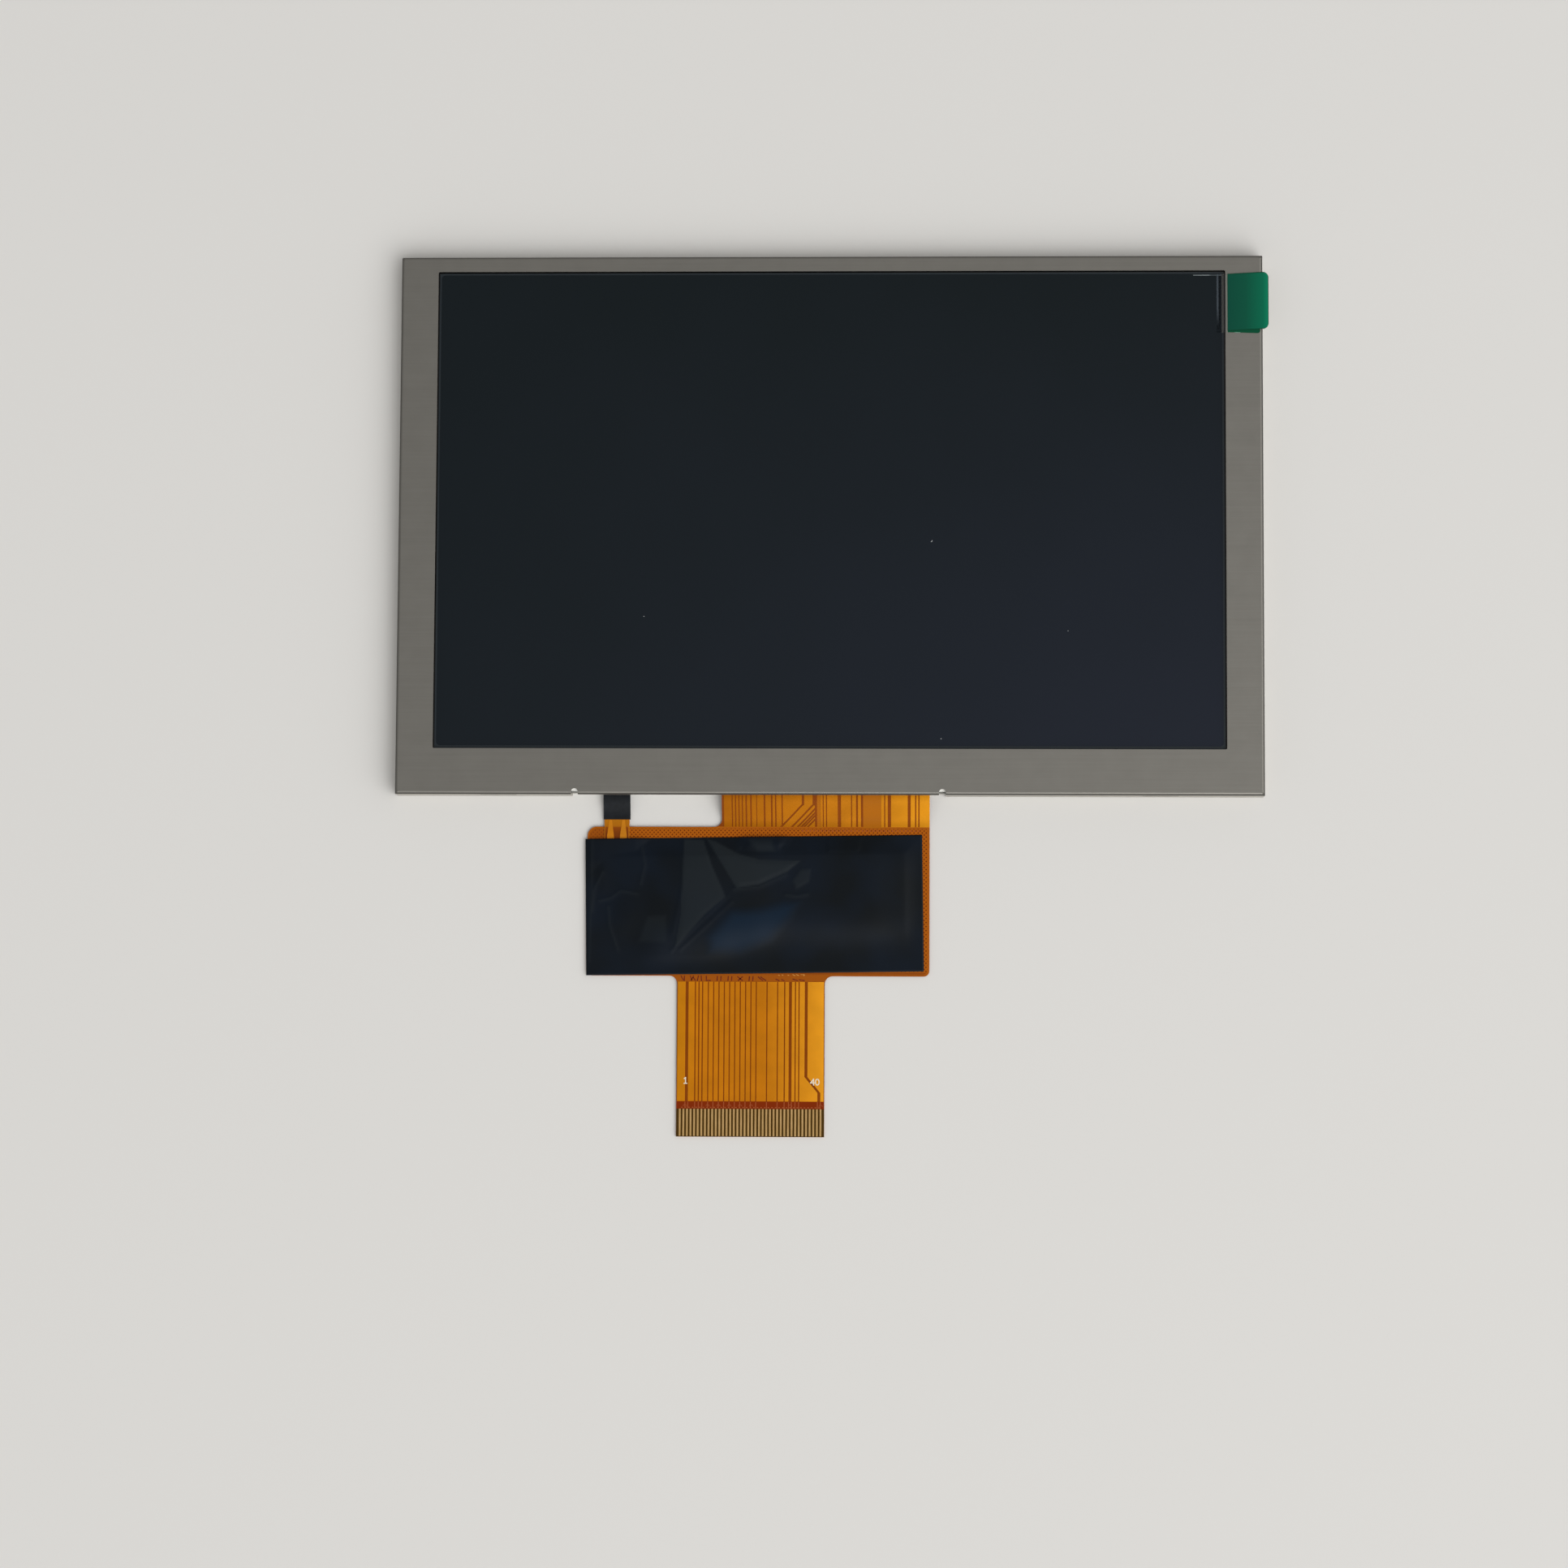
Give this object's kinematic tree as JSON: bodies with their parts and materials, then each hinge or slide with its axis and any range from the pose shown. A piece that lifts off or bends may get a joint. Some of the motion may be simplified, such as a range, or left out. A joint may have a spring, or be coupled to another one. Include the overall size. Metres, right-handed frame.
{
  "type": "tft display module",
  "caption": "Flat TFT display module with its own backlight, a folded metal bezel and a flexible circuit that ends in a row of contacts.",
  "frame": {"origin": "on the back face, under the middle of the bezel", "axes": "+X to the right across the screen, +Y up the screen and away from the flexible circuit, +Z out of the screen"},
  "size_m": [0.1215, 0.1231, 0.0031],
  "materials": {
    "bezel": "matte stainless sheet, folded",
    "back_plate": "matte stainless sheet, folded",
    "mould_frame": "white moulded polycarbonate",
    "reflector_film": "silver white reflector film",
    "light_guide": "clear acrylic sheet",
    "optical_film": "frosted film",
    "prism_film": "clear prismatic film",
    "black_tape": "black double sided tape",
    "polariser": "neutral grey polariser film",
    "glass": "polished display glass",
    "filter_glass": "polished display glass over the colour filter",
    "front_polariser": "anti-glare polariser film",
    "protective_film": "clear protective film, seen over the dark screen",
    "pull_tab": "green polyester film",
    "silicon": "bare silicon",
    "polyimide": "amber polyimide film",
    "sleeve": "black insulating film",
    "copper_pads": "gold plated copper under amber film",
    "solder": "solder",
    "flex_film": "amber polyimide film",
    "copper_planes": "copper under an amber cover film",
    "ground_copper": "hatched copper under an amber cover film",
    "contact_gold": "thin gold plating over copper",
    "stiffener": "thick polyimide stiffener",
    "component_tape": "black polyester tape",
    "chip_body": "black moulding compound",
    "ferrite": "dark ferrite",
    "capacitor_body": "brown ceramic with tinned ends",
    "resistor_body": "black glazed ceramic with tinned ends",
    "led_body": "white LED package"
  },
  "bodies": {
    "root": {"bezel": "bezel", "back_plate": "back_plate", "mould_frame": "mould_frame", "reflector_film": "reflector_film", "light_guide": "light_guide", "diffuser_film": "optical_film", "prism_film_lower": "prism_film", "prism_film_upper": "prism_film", "rim_tape": "black_tape", "rear_polariser": "polariser", "array_glass": "glass", "colour_filter_glass": "filter_glass", "front_polariser": "front_polariser", "protective_film": "protective_film", "pull_tab": "pull_tab", "source_driver_chip": "silicon", "gate_driver_chip": "silicon", "led_flex": "polyimide", "led_flex_sleeve": "sleeve", "led_tail_pads": "copper_pads", "led_tail_solder": "solder", "main_flex": "flex_film", "neck_traces": "copper_planes", "ground_plane": "ground_copper", "tail_traces": "copper_planes", "contact_fingers": "contact_gold", "tail_stiffener": "stiffener", "component_tape": "component_tape", "power_chip": "chip_body", "buffer_chip": "chip_body", "inductor": "ferrite", "diode": "chip_body", "capacitor_1": "capacitor_body", "capacitor_2": "capacitor_body", "capacitor_3": "capacitor_body", "capacitor_4": "capacitor_body", "capacitor_5": "capacitor_body", "resistor_1": "resistor_body", "resistor_2": "resistor_body", "resistor_3": "resistor_body", "resistor_4": "resistor_body", "led_01": "led_body", "led_02": "led_body", "led_03": "led_body", "led_04": "led_body", "led_05": "led_body", "led_06": "led_body", "led_07": "led_body", "led_08": "led_body", "led_09": "led_body", "led_10": "led_body", "led_11": "led_body", "led_12": "led_body", "led_13": "led_body", "led_14": "led_body", "led_15": "led_body", "led_16": "led_body", "led_17": "led_body", "led_18": "led_body"}
  },
  "joints": []
}
